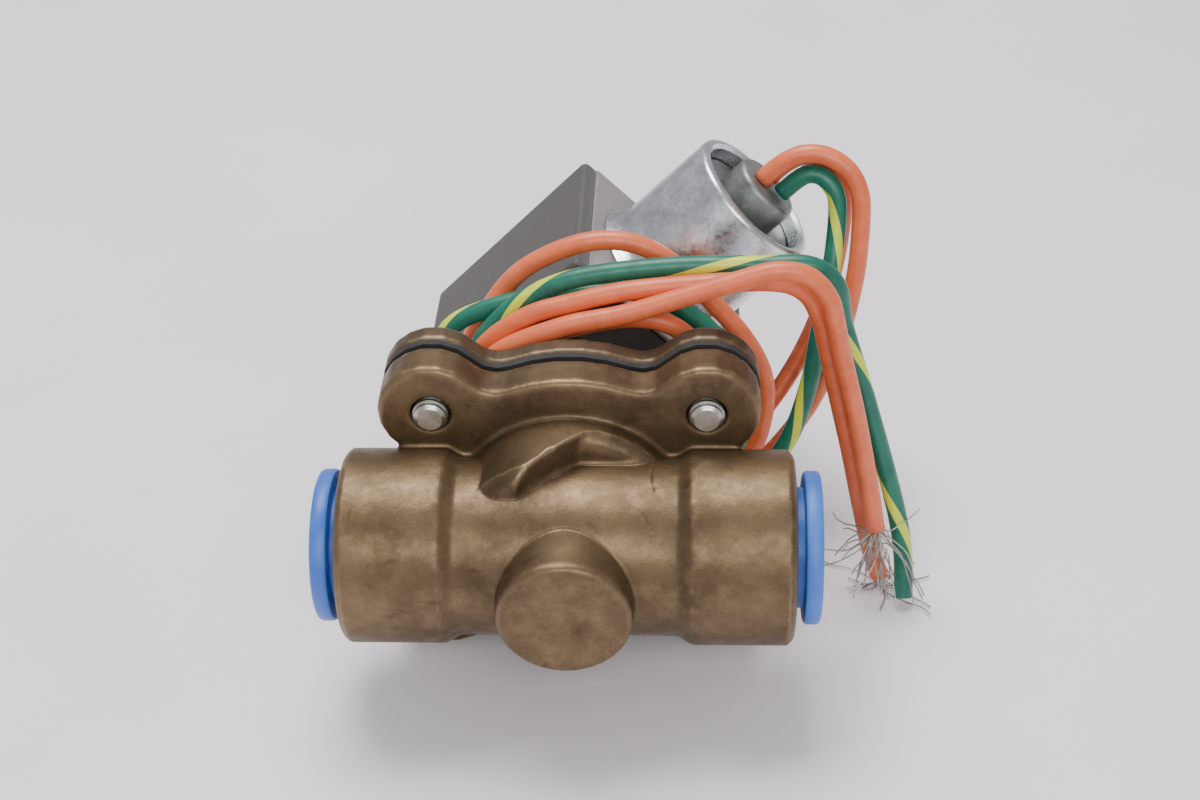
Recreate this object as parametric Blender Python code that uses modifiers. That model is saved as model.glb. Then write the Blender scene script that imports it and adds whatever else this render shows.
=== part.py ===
"""Pilot-operated solenoid valve lying on its side, with three flying leads.

Scene units are metres, +Z up. Every size below is in millimetres and is turned into metres by MM.
Valve coordinates: x runs along the ports, y along the solenoid, away from the bottom boss,
and z is up, all from the point where the port axis crosses the solenoid axis.
"""
import math

import bmesh
import bpy
from mathutils import Matrix, Vector

MM = 0.001
GAP = 0.3

# Valve body
BODY_HALF = 35.7
HUB_R = 15.6
HUB_START = 19.5
BARREL_R = 14.2
HUB_FILLET = 1.6
PORT_R = 10.0
PORT_END = 18.5
CHANNEL_R = 5.5
BOWL_R = 19.4
BOWL_SHALLOW = 3.4
BOWL_DEEP = -5.0
BOSS_R = 10.7
BOSS_END = -18.5
BOSS_FILLET = 1.3
SEAT_TOP = 12.9
SEAT_R = 9.0
GROOVE_R = 16.0
GROOVE_BOTTOM = 9.2

# The bowl's lower rim steps down from the outlet side to the inlet side along a slanted wall.
SLANT = math.radians(42)
SLANT_TURN = (0, 0, SLANT)
SLANT_OUT = Vector((math.sin(SLANT), -math.cos(SLANT), 0))

# Clamped flanges, with a bolt in each lobe
BOLT_X = 21.8
BOLT_Z = 19.8
FLANGE_R = 26.0
LOBE_R = 8.6
LOBE_FILLET = 5.0
FLANGE_BOTTOM = 8.2
FLANGE_TOP = 15.2
DIAPHRAGM_THICK = 1.2
BONNET_BOTTOM = FLANGE_TOP + 2 * GAP + DIAPHRAGM_THICK
BONNET_FLANGE_TOP = BONNET_BOTTOM + 4.3
CHAMBER_R = 14.3
CHAMBER_TOP = 22.4
DOME_R = 17.5
DOME_TOP = 25.2
NECK_R = 11.0
NECK_TOP = 27.5
SOCKET_FLOOR = 24.2
SOCKET_R = 8.2
PILOT_TOP = 26.0
PILOT_R = 1.0

# Bolts
SHANK_R = 2.9
BOLT_HOLE_R = 3.2
BOLT_TIP = 6.7
HEAD_FLATS = 9.5
HEAD_HEIGHT = 4.2

# Moving pieces
POPPET_R = 13.9
POPPET_THICK = 1.9
PLUNGER_R = 6.7
PLUNGER_TOP = 50.0
PLUNGER_BOTTOM = 28.5
CORE_FACE = 52.0

# Solenoid
TUBE_R = 7.9
TUBE_INNER_R = 7.1
TUBE_TOP = 72.0
COIL_NEAR = 40.0
COIL_FAR = 76.0
COIL_SIDE = 41.0
COIL_EDGE = 1.25
COIL_BORE_R = 8.3
WINDING_R = 17.8
WINDING_NEAR = 44.0
WINDING_FAR = 72.0
STUD_R = 4.0
STUD_END = 83.5
NUT_FLATS = 14.0

# Conduit hub, on the upper right face of the coil
HUB_TILT = math.radians(45)
CONDUIT_Y = 59.0
CONDUIT_R = 13.0
CONDUIT_BORE_R = 11.0
CONDUIT_END = 43.5
CONDUIT_FLOOR = 29.7
BUSHING_R = 6.3
BUSHING_END = 46.5

# Thread protector caps
CAP_R = 12.2
CAP_THICK = 2.8
CAP_GAP = 1.3
PLUG_R = 9.6
PLUG_END = 27.5

# Leads
LEAD_D = 3.3
LEAD_STEP = 6.6
CONDUCTOR_R = 0.6

# The resting surface touches the two lower lobes and the lower edge of the coil.
LIFT = BOLT_Z + LOBE_R
SHIFT_Y = -(STUD_END + BOSS_END) / 2
VALVE = Vector((0, SHIFT_Y, LIFT))

ALONG_Y = (math.radians(-90), 0, 0)
ALONG_X = (0, math.radians(90), 0)
AGAINST_X = (0, math.radians(-90), 0)
ALONG_CONDUIT = (0, HUB_TILT, 0)

# Routes of the leads, in valve coordinates.
ROUTE_ORANGE_1 = [
    (31.6, 57.8, 34.6), (34.2, 57.8, 37.2), (38.0, 57.8, 39.4), (42.3, 57.4, 39.4), (46.1, 56.5, 37.2),
    (48.3, 55.3, 33.2), (48.6, 53.8, 28.0), (47.8, 50.8, 18.5), (45.0, 47.2, 7.5), (40.2, 44.6, -4.0), (31.8, 42.0, -14.6),
    (20.0, 39.4, -22.2), (6.0, 37.8, -26.0), (-8.0, 37.8, -25.0), (-18.0, 37.8, -17.5), (-22.0, 37.8, -5.0),
    (-21.0, 38.0, 8.0), (-16.6, 38.0, 17.7), (-10.3, 38.1, 27.0), (-3.0, 38.0, 32.0), (4.3, 38.0, 34.1),
    (11.2, 38.0, 33.0), (17.2, 38.0, 28.8), (22.6, 38.0, 22.4), (28.0, 38.0, 15.5), (31.5, 37.8, 8.5),
    (32.3, 37.3, 1.5), (30.1, 36.0, -7.3), (24.0, 34.0, -15.5), (14.0, 30.0, -20.7), (2.0, 27.0, -22.2),
    (-9.0, 24.4, -20.4), (-17.4, 23.7, -13.4), (-19.9, 23.7, -1.0), (-16.8, 23.7, 11.0),
    (-13.0, 23.6, 20.6), (-2.0, 23.6, 26.2), (8.7, 23.6, 28.8), (19.2, 23.6, 32.4), (26.6, 23.6, 35.0),
    (32.6, 23.7, 36.8), (37.8, 23.8, 35.8), (41.2, 23.9, 31.8), (42.6, 23.9, 26.6), (43.9, 23.8, 20.5),
    (46.5, 23.0, 9.9), (49.1, 22.0, -2.6), (50.9, 21.0, -12.8),
]
ROUTE_ORANGE_2 = [
    (33.1, 61.5, 33.1), (35.6, 61.5, 35.6), (38.3, 61.4, 37.2), (41.4, 61.0, 37.2), (44.1, 60.6, 35.6),
    (45.6, 59.9, 32.5), (45.8, 58.6, 27.5), (44.8, 56.4, 19.5), (42.4, 53.2, 11.0), (38.4, 49.8, 2.5), (33.0, 46.2, -5.0), (26.5, 42.0, -10.8),
    (19.0, 38.0, -13.5), (10.0, 36.0, -14.2), (0.0, 33.0, -14.0), (-9.0, 29.6, -12.0), (-15.0, 28.2, -4.0),
    (-16.5, 28.0, 5.5), (-12.5, 28.0, 14.8), (-5.5, 28.0, 21.2), (3.5, 28.0, 24.4), (11.5, 28.0, 25.2),
    (17.6, 28.0, 22.8), (22.3, 28.0, 16.0), (24.2, 28.0, 7.0), (23.6, 27.8, -2.5), (20.0, 27.4, -10.0),
    (12.5, 27.3, -15.3), (3.0, 27.3, -17.2), (-8.0, 27.3, -16.8), (-16.5, 27.6, -11.0), (-20.8, 27.3, -1.0),
    (-19.6, 27.3, 11.0), (-14.8, 27.2, 20.3), (-7.5, 27.3, 26.0), (0.0, 27.3, 28.6), (8.5, 27.3, 30.8),
    (20.8, 27.3, 32.2), (32.6, 27.4, 32.6), (37.6, 27.5, 30.6), (40.2, 27.6, 26.0), (41.9, 27.7, 19.0),
    (44.2, 27.5, 9.0), (46.4, 27.0, -0.5), (48.6, 26.5, -11.0), (50.6, 25.8, -20.0), (52.6, 25.0, -26.6),
]
ROUTE_GROUND = [
    (34.9, 57.8, 31.9), (37.2, 57.8, 34.2), (39.3, 57.8, 35.6), (41.5, 57.5, 35.5), (43.3, 56.7, 34.2),
    (44.4, 55.8, 32.0), (44.5, 54.3, 27.5), (43.6, 50.8, 20.5), (42.0, 46.8, 12.5), (40.0, 42.8, 1.5), (36.0, 39.4, -8.8), (27.6, 36.6, -18.8),
    (15.0, 34.4, -25.0), (1.0, 34.0, -26.5), (-12.0, 34.0, -24.0), (-21.5, 34.2, -15.5),
    (-25.5, 34.4, -3.0), (-25.5, 34.4, 9.5), (-21.6, 34.5, 18.8), (-14.5, 34.5, 23.0), (-4.9, 34.5, 25.5),
    (6.0, 34.5, 26.4), (13.0, 34.4, 25.8), (18.4, 34.4, 22.5), (24.0, 34.4, 17.0), (27.8, 34.4, 10.8),
    (28.8, 34.0, 4.0), (27.2, 33.0, -4.0), (22.2, 32.2, -11.4), (13.0, 31.7, -16.9), (0.0, 31.3, -19.6),
    (-10.5, 31.1, -17.6), (-17.6, 31.0, -10.0), (-19.8, 31.0, 0.0), (-18.8, 31.0, 11.0),
    (-14.9, 30.9, 20.0), (-8.9, 31.0, 26.4), (-2.1, 31.0, 30.2), (5.5, 31.1, 32.0), (17.5, 31.1, 33.3),
    (30.5, 31.2, 33.4), (38.6, 31.4, 33.2), (43.0, 31.6, 29.4), (44.6, 31.4, 21.5), (48.0, 29.4, 11.0),
    (52.1, 27.0, -2.6), (55.0, 24.6, -13.1), (56.2, 22.3, -20.2), (56.4, 19.4, -26.6),
]


def clear_scene():
    for obj in list(bpy.data.objects):
        bpy.data.objects.remove(obj, do_unlink=True)


def new_collection(name):
    made = bpy.data.collections.new(name)
    bpy.context.scene.collection.children.link(made)
    return made


def new_material(name, colour, metallic, roughness):
    made = bpy.data.materials.new(name)
    made.use_nodes = True
    shader = made.node_tree.nodes["Principled BSDF"]
    shader.inputs["Base Color"].default_value = (*colour, 1.0)
    shader.inputs["Metallic"].default_value = metallic
    shader.inputs["Roughness"].default_value = roughness
    made.diffuse_color = (*colour, 1.0)
    return made


clear_scene()
PARTS = new_collection("solenoid_valve")
CUTTERS = new_collection("cutters")
CUTTERS.hide_render = True
CENTRE = bpy.data.objects.new("valve_centre", None)
CENTRE.location = VALVE * MM
PARTS.objects.link(CENTRE)

BRONZE = new_material("cast_bronze", (0.16, 0.105, 0.058), 0.85, 0.5)
BONNET_BRONZE = new_material("bonnet_bronze", (0.15, 0.1, 0.06), 0.85, 0.48)
ZINC = new_material("zinc_die_cast", (0.55, 0.56, 0.57), 0.9, 0.38)
PLATED_STEEL = new_material("plated_steel", (0.5, 0.48, 0.42), 0.95, 0.35)
STAINLESS = new_material("stainless", (0.6, 0.6, 0.6), 1.0, 0.28)
COPPER = new_material("copper", (0.72, 0.36, 0.2), 1.0, 0.35)
TINNED = new_material("tinned_copper", (0.7, 0.68, 0.64), 1.0, 0.35)
ENAMEL = new_material("magnet_wire", (0.4, 0.12, 0.05), 0.6, 0.35)
EPOXY = new_material("coil_encapsulation", (0.035, 0.034, 0.037), 0.0, 0.55)
PAINTED_PLATE = new_material("painted_plate", (0.16, 0.145, 0.13), 0.6, 0.45)
BOBBIN = new_material("bobbin_plastic", (0.5, 0.46, 0.36), 0.0, 0.5)
RUBBER = new_material("nitrile_rubber", (0.012, 0.012, 0.012), 0.0, 0.75)
BLUE_PLASTIC = new_material("blue_plastic", (0.05, 0.13, 0.5), 0.0, 0.45)
BUSHING_FILL = new_material("bushing_metal", (0.22, 0.24, 0.22), 0.7, 0.5)
LABEL = new_material("blank_label", (0.12, 0.11, 0.05), 0.1, 0.45)
ORANGE = new_material("orange_insulation", (0.75, 0.16, 0.06), 0.0, 0.4)
GREEN = new_material("green_insulation", (0.01, 0.16, 0.11), 0.0, 0.4)


def smooth(mesh):
    for face in mesh.polygons:
        face.use_smooth = True


def place(name, mesh, material, where=(0, 0, 0), turn=(0, 0, 0)):
    """Links a mesh or curve as one named part, at a point in valve coordinates."""
    obj = bpy.data.objects.new(name, mesh)
    obj.parent = CENTRE
    obj.location = Vector(where) * MM
    obj.rotation_euler = turn
    if material is not None:
        mesh.materials.append(material)
    PARTS.objects.link(obj)
    if obj.type == "MESH":
        smooth(mesh)
    return obj


def as_cutter(obj):
    """Moves a helper to the cutters' collection, where it is neither rendered nor exported."""
    PARTS.objects.unlink(obj)
    CUTTERS.objects.link(obj)
    obj.hide_render = True
    obj.display_type = "WIRE"
    return obj


def boolean(obj, cutter, operation="DIFFERENCE"):
    modifier = obj.modifiers.new(f"{operation.lower()}_{cutter.name}", "BOOLEAN")
    modifier.operation = operation
    modifier.solver = "EXACT"
    modifier.object = cutter


def turned(name, profile, material=None, where=(0, 0, 0), turn=ALONG_Y, steps=32, ring=False):
    """A turned piece. The profile's (radius, height) points run top to bottom on the outer side."""
    mesh = bpy.data.meshes.new(name)
    points = [(radius * MM, 0, height * MM) for radius, height in profile]
    edges = [(i, i + 1) for i in range(len(points) - 1)]
    if ring:
        edges.append((len(points) - 1, 0))
    mesh.from_pydata(points, edges, [])
    obj = place(name, mesh, material, where, turn)
    screw = obj.modifiers.new("turn", "SCREW")
    screw.axis = "Z"
    screw.angle = math.tau
    screw.steps = steps
    screw.render_steps = steps
    screw.use_merge_vertices = True
    screw.merge_threshold = 0.000005
    screw.use_smooth_shade = True
    return obj


def rounded(radius, height, fillet, upper=True, count=3):
    """Profile points of a rounded outer edge, in the order that a turned profile needs."""
    middle = height - fillet if upper else height + fillet
    points = []
    for i in range(count + 1):
        angle = math.radians(90) * i / count
        across = math.sin(angle) if upper else math.cos(angle)
        along = math.cos(angle) if upper else -math.sin(angle)
        points.append((radius - fillet + fillet * across, middle + fillet * along))
    return points


def rod(name, radius, bottom, top, material=None, where=(0, 0, 0), turn=ALONG_Y, steps=32):
    profile = [(0, top), (radius, top), (radius, bottom), (0, bottom)]
    return turned(name, profile, material, where, turn, steps)


def ring(name, inner, outer, bottom, top, material=None, where=(0, 0, 0), turn=ALONG_Y, steps=32):
    profile = [(inner, top), (outer, top), (outer, bottom), (inner, bottom)]
    return turned(name, profile, material, where, turn, steps, ring=True)


def prism(name, outline, bottom, top, material=None, bevel=0.0):
    """Extrudes an outline of (x, z) points along the solenoid axis."""
    mesh = bpy.data.meshes.new(name)
    shape = bmesh.new()
    verts = [shape.verts.new((x * MM, bottom * MM, z * MM)) for x, z in outline]
    face = shape.faces.new(verts)
    moved = bmesh.ops.extrude_face_region(shape, geom=[face])
    top_verts = [item for item in moved["geom"] if isinstance(item, bmesh.types.BMVert)]
    bmesh.ops.translate(shape, verts=top_verts, vec=(0, (top - bottom) * MM, 0))
    bmesh.ops.recalc_face_normals(shape, faces=shape.faces)
    shape.to_mesh(mesh)
    shape.free()
    obj = place(name, mesh, material)
    if bevel:
        modifier = obj.modifiers.new("edges", "BEVEL")
        modifier.width = bevel * MM
        modifier.segments = 1
        modifier.limit_method = "ANGLE"
        modifier.angle_limit = math.radians(60)
    return obj


def box(name, size, material=None, where=(0, 0, 0), turn=(0, 0, 0), bevel=0.0, segments=3):
    mesh = bpy.data.meshes.new(name)
    shape = bmesh.new()
    bmesh.ops.create_cube(shape, size=1.0)
    bmesh.ops.scale(shape, verts=shape.verts, vec=Vector(size) * MM)
    shape.to_mesh(mesh)
    shape.free()
    obj = place(name, mesh, material, where, turn)
    if bevel:
        modifier = obj.modifiers.new("edges", "BEVEL")
        modifier.width = bevel * MM
        modifier.segments = segments
    return obj


def arc(centre, radius, start, end, count):
    return [
        (
            centre[0] + radius * math.cos(start + (end - start) * i / count),
            centre[1] + radius * math.sin(start + (end - start) * i / count),
        )
        for i in range(count + 1)
    ]


def lobed_outline(grow=0.0):
    """A round flange with a rounded lobe at each bolt, and a fillet where a lobe meets the round."""
    circle_r = FLANGE_R + grow
    lobe_r = LOBE_R + grow
    fillet = LOBE_FILLET - grow
    reach = math.hypot(BOLT_X, BOLT_Z)
    lean = math.atan2(BOLT_Z, BOLT_X)
    to_circle = circle_r + fillet
    to_lobe = lobe_r + fillet
    spread = math.acos((to_circle**2 + reach**2 - to_lobe**2) / (2 * reach * to_circle))
    points = []
    middles = [lean, math.pi - lean, math.pi + lean, math.tau - lean]
    for quarter, middle in enumerate(middles):
        following = middles[(quarter + 1) % 4]
        lobe = (reach * math.cos(middle), reach * math.sin(middle))
        for side in (-1, 1):
            at = middle + side * spread
            hollow = (to_circle * math.cos(at), to_circle * math.sin(at))
            inward = math.atan2(-hollow[1], -hollow[0])
            across = math.atan2(lobe[1] - hollow[1], lobe[0] - hollow[0])
            swing = (across - inward + math.pi) % math.tau - math.pi
            if side < 0:
                points += arc(hollow, fillet, inward, inward + swing, 3)
                start = across + math.pi
                sweep = 2 * ((middle - start + math.pi) % math.tau - math.pi)
                points += arc(lobe, lobe_r, start, start + sweep, 10)[1:-1]
            else:
                points += arc(hollow, fillet, inward + swing, inward, 3)
                step = (following - middle) % math.tau - 2 * spread
                points += arc((0, 0), circle_r, at, at + step, 5)[1:-1]
    return points


def bolt_holes(name, radius, bottom, top):
    """One cutter that holds the four bolt holes."""
    mesh = bpy.data.meshes.new(name)
    shape = bmesh.new()
    for x in (-BOLT_X, BOLT_X):
        for z in (-BOLT_Z, BOLT_Z):
            stand = Matrix.Translation(Vector((x, (bottom + top) / 2, z)) * MM)
            lay = Matrix.Rotation(math.radians(90), 4, "X")
            bmesh.ops.create_cone(
                shape,
                cap_ends=True,
                segments=12,
                radius1=radius * MM,
                radius2=radius * MM,
                depth=(top - bottom) * MM,
                matrix=stand @ lay,
            )
    shape.to_mesh(mesh)
    shape.free()
    return as_cutter(place(name, mesh, None))


def hexagon(name, flats, bottom, top, where):
    corner = flats / 2 / math.cos(math.radians(30))
    outline = [
        (corner * math.cos(math.radians(60 * i)), corner * math.sin(math.radians(60 * i)))
        for i in range(6)
    ]
    obj = prism(name, outline, bottom, top)
    obj.location = Vector(where) * MM
    return obj


def smooth_route(points, step):
    """Points every step along a smooth curve through the route."""
    padded = [points[0] * 2 - points[1], *points, points[-1] * 2 - points[-2]]
    fine = []
    for i in range(1, len(padded) - 2):
        before, start, end, after = padded[i - 1 : i + 3]
        for part in range(12):
            t = part / 12
            fine.append(
                0.5
                * (
                    2 * start
                    + (end - before) * t
                    + (2 * before - 5 * start + 4 * end - after) * t**2
                    + (3 * start - before - 3 * end + after) * t**3
                )
            )
    fine.append(points[-1])
    lengths = [0.0]
    for i in range(1, len(fine)):
        lengths.append(lengths[-1] + (fine[i] - fine[i - 1]).length)
    count = max(2, round(lengths[-1] / step))
    route = []
    at = 0
    for i in range(count + 1):
        target = lengths[-1] * i / count
        while at < len(fine) - 2 and lengths[at + 1] < target:
            at += 1
        share = (target - lengths[at]) / (lengths[at + 1] - lengths[at])
        route.append(fine[at].lerp(fine[at + 1], share))
    return route


def tube(name, points, radius, material, resolution=2):
    """A round wire or tube along straight steps between the points, in valve coordinates."""
    curve = bpy.data.curves.new(name, "CURVE")
    curve.dimensions = "3D"
    spline = curve.splines.new("POLY")
    spline.points.add(len(points) - 1)
    for knot, point in zip(spline.points, points):
        knot.co = (*(Vector(point) * MM), 1.0)
    spline.use_smooth = True
    curve.bevel_depth = radius * MM
    curve.bevel_resolution = resolution
    curve.use_fill_caps = True
    return place(name, curve, material)


def helix(radius, wire_r, bottom, top, turns, per_turn=8):
    """Points of a compression spring that stands between two heights."""
    count = round(turns * per_turn)
    low = bottom + wire_r
    high = top - wire_r
    points = []
    for i in range(count + 1):
        angle = math.tau * turns * i / count
        height = low + (high - low) * i / count
        points.append((radius * math.cos(angle), height, radius * math.sin(angle)))
    return points


def bowl_profile(bottom):
    """The bowl under the flange, down to its rounded lower rim."""
    top = FLANGE_BOTTOM + 2
    return [(0, top), (BOWL_R, top), *rounded(BOWL_R, bottom, 2.6, upper=False), (0, bottom)]


def build_body():
    lower_hub = rounded(HUB_R, -BODY_HALF, HUB_FILLET, upper=False)
    upper_hub = rounded(HUB_R, BODY_HALF, HUB_FILLET)
    barrel = [
        (HUB_R, HUB_START),
        (HUB_R - 0.5, HUB_START - 0.8),
        (BARREL_R, HUB_START - 2.2),
        (BARREL_R, 2.2 - HUB_START),
        (HUB_R - 0.5, 0.8 - HUB_START),
        (HUB_R, -HUB_START),
    ]
    profile = [(0, BODY_HALF), *upper_hub, *barrel, *lower_hub, (0, -BODY_HALF)]
    body = turned("valve_body", profile, BRONZE, turn=ALONG_X, steps=28)

    deep = turned("bowl_deep", bowl_profile(BOWL_DEEP), steps=36)
    slant = Vector((-3.0, (BOWL_SHALLOW + BOWL_DEEP) / 2, 0))
    boolean(deep, as_cutter(box("bowl_slant", (50, 24, 60), None, slant + SLANT_OUT * 12, SLANT_TURN)))
    boss_profile = [(0, 0), (BOSS_R, 0), *rounded(BOSS_R, BOSS_END, BOSS_FILLET, upper=False), (0, BOSS_END)]
    flange = prism("flange_solid", lobed_outline(), FLANGE_BOTTOM, FLANGE_TOP, bevel=0.7)
    for helper in (
        turned("bowl_shallow", bowl_profile(BOWL_SHALLOW), steps=36),
        deep,
        turned("boss_solid", boss_profile, steps=32),
        flange,
    ):
        boolean(body, as_cutter(helper), "UNION")

    seat_room = [
        (0, FLANGE_TOP + 8),
        (FLANGE_R + 0.9, FLANGE_TOP + 8),
        (FLANGE_R + 0.9, FLANGE_TOP),
        (GROOVE_R, FLANGE_TOP),
        (GROOVE_R, GROOVE_BOTTOM),
        (SEAT_R, GROOVE_BOTTOM),
        (SEAT_R, SEAT_TOP),
        (0, SEAT_TOP),
    ]
    cutters = [
        as_cutter(turned("seat_room", seat_room, steps=28)),
        as_cutter(rod("inlet_bore", PORT_R, PORT_END, BODY_HALF + 2, turn=AGAINST_X, steps=28)),
        as_cutter(rod("outlet_bore", PORT_R, PORT_END, BODY_HALF + 2, turn=ALONG_X, steps=28)),
        as_cutter(rod("inlet_channel", CHANNEL_R, 9.0, PORT_END + 1, turn=AGAINST_X, steps=24)),
        as_cutter(rod("outlet_channel", CHANNEL_R, -3.0, PORT_END + 1, turn=ALONG_X, steps=24)),
        as_cutter(rod("inlet_riser", 3.3, 0.0, GROOVE_BOTTOM + 1, where=(-12.5, 0, 0), steps=20)),
        as_cutter(rod("seat_orifice", 5.0, 0.4, SEAT_TOP + 1, steps=24)),
        bolt_holes("body_bolt_holes", BOLT_HOLE_R, FLANGE_BOTTOM - 2, FLANGE_TOP + 2),
        as_cutter(ring("boss_ring_groove", 9.0, 9.5, BOSS_END - 1, BOSS_END + 0.35)),
    ]
    for cutter in cutters:
        boolean(body, cutter)


def build_diaphragm():
    bottom = FLANGE_TOP + GAP
    sheet = prism("diaphragm", lobed_outline(), bottom, bottom + DIAPHRAGM_THICK, RUBBER)
    boolean(sheet, bolt_holes("diaphragm_bolt_holes", BOLT_HOLE_R, bottom - 2, bottom + 4))
    boolean(sheet, as_cutter(rod("diaphragm_middle", CHAMBER_R, bottom - 2, bottom + 4, steps=32)))


def build_bonnet():
    bonnet = prism("bonnet", lobed_outline(), BONNET_BOTTOM, BONNET_FLANGE_TOP, BONNET_BRONZE, bevel=0.7)
    dome = [
        (0, NECK_TOP),
        (NECK_R - 0.6, NECK_TOP),
        (NECK_R, NECK_TOP - 0.6),
        (NECK_R, DOME_TOP + 0.4),
        (NECK_R + 1.0, DOME_TOP),
        *rounded(DOME_R, DOME_TOP, 2.0),
        (DOME_R, BONNET_BOTTOM + 1),
        (0, BONNET_BOTTOM + 1),
    ]
    boolean(bonnet, as_cutter(turned("dome_solid", dome)), "UNION")
    socket = [
        (PILOT_R + 1.4, NECK_TOP + 1),
        (SOCKET_R, NECK_TOP + 1),
        (SOCKET_R, SOCKET_FLOOR),
        (PILOT_R + 1.4, SOCKET_FLOOR),
    ]
    for cutter in (
        as_cutter(rod("poppet_chamber", CHAMBER_R, BONNET_BOTTOM - 1, CHAMBER_TOP, steps=32)),
        as_cutter(turned("tube_socket", socket, ring=True)),
        as_cutter(rod("pilot_top", PILOT_R + 2, PILOT_TOP, NECK_TOP + 2, steps=24)),
        as_cutter(rod("pilot_hole", PILOT_R, CHAMBER_TOP - 2, NECK_TOP + 2, steps=16)),
        bolt_holes("bonnet_bolt_holes", BOLT_HOLE_R, BONNET_BOTTOM - 2, BONNET_FLANGE_TOP + 3),
    ):
        boolean(bonnet, cutter)


def build_bolt(index, x, z):
    under_head = BONNET_FLANGE_TOP + GAP
    shank = [
        (0, under_head + 1),
        (SHANK_R, under_head + 1),
        (SHANK_R, BOLT_TIP + 0.7),
        (SHANK_R - 0.7, BOLT_TIP),
        (0, BOLT_TIP),
    ]
    bolt = turned(f"bonnet_bolt_{index}", shank, PLATED_STEEL, (x, 0, z), steps=24)
    head = hexagon(f"bolt_head_{index}", HEAD_FLATS, under_head, under_head + HEAD_HEIGHT, (x, 0, z))
    boolean(bolt, as_cutter(head), "UNION")


def build_poppet():
    bottom = FLANGE_TOP + 0.1
    disc = [
        (0, bottom + 3.6),
        (3.5, bottom + 3.6),
        (3.5, bottom + POPPET_THICK),
        *rounded(POPPET_R, bottom + POPPET_THICK, 0.5, count=2),
        (POPPET_R, bottom),
        (0, bottom),
    ]
    turned("main_poppet", disc, BRONZE)
    seal_bottom = SEAT_TOP + GAP
    rod("poppet_seal", 7.6, seal_bottom, bottom - GAP, RUBBER, steps=28)
    coil = helix(4.6, 0.4, bottom + POPPET_THICK + GAP, CHAMBER_TOP - GAP, 3)
    tube("poppet_spring", coil, 0.4, STAINLESS, 1)


def build_solenoid_core():
    ring("core_tube", TUBE_INNER_R, TUBE_R, SOCKET_FLOOR + GAP, TUBE_TOP, STAINLESS)
    o_ring = []
    for i in range(8):
        angle = math.radians(90 - 45 * i)
        o_ring.append((TUBE_R + GAP + 0.8 + 0.8 * math.cos(angle), NECK_TOP + GAP + 0.8 + 0.8 * math.sin(angle)))
    turned("tube_o_ring", o_ring, RUBBER, steps=24, ring=True)

    shoulder = TUBE_TOP + GAP
    core = [
        (0, STUD_END),
        (STUD_R - 0.6, STUD_END),
        (STUD_R, STUD_END - 0.6),
        (STUD_R, COIL_FAR - 0.5),
        (TUBE_R, COIL_FAR - 0.5),
        (TUBE_R, shoulder),
        (TUBE_INNER_R - GAP, shoulder),
        (TUBE_INNER_R - GAP, CORE_FACE),
        (5.5, CORE_FACE),
        (5.5, CORE_FACE + 1.7),
        (3.9, CORE_FACE + 1.7),
        (3.9, CORE_FACE),
        (0, CORE_FACE),
    ]
    turned("fixed_core", core, STAINLESS)
    ring("shading_ring", 4.2, 5.2, CORE_FACE, CORE_FACE + 1.4, COPPER)

    plunger = [
        (0, PLUNGER_TOP - 6),
        (3.2, PLUNGER_TOP - 6),
        (3.2, PLUNGER_TOP),
        (PLUNGER_R - 0.5, PLUNGER_TOP),
        (PLUNGER_R, PLUNGER_TOP - 0.5),
        (PLUNGER_R, PLUNGER_BOTTOM + 1),
        (PLUNGER_R - 1, PLUNGER_BOTTOM),
        (0, PLUNGER_BOTTOM),
    ]
    turned("plunger", plunger, STAINLESS)
    rod("plunger_seal", 2.8, PILOT_TOP + GAP, PLUNGER_BOTTOM - GAP, RUBBER, steps=24)
    coil = helix(2.4, 0.3, PLUNGER_TOP - 6 + GAP, CORE_FACE - GAP, 5)
    tube("plunger_spring", coil, 0.3, STAINLESS, 1)


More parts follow.
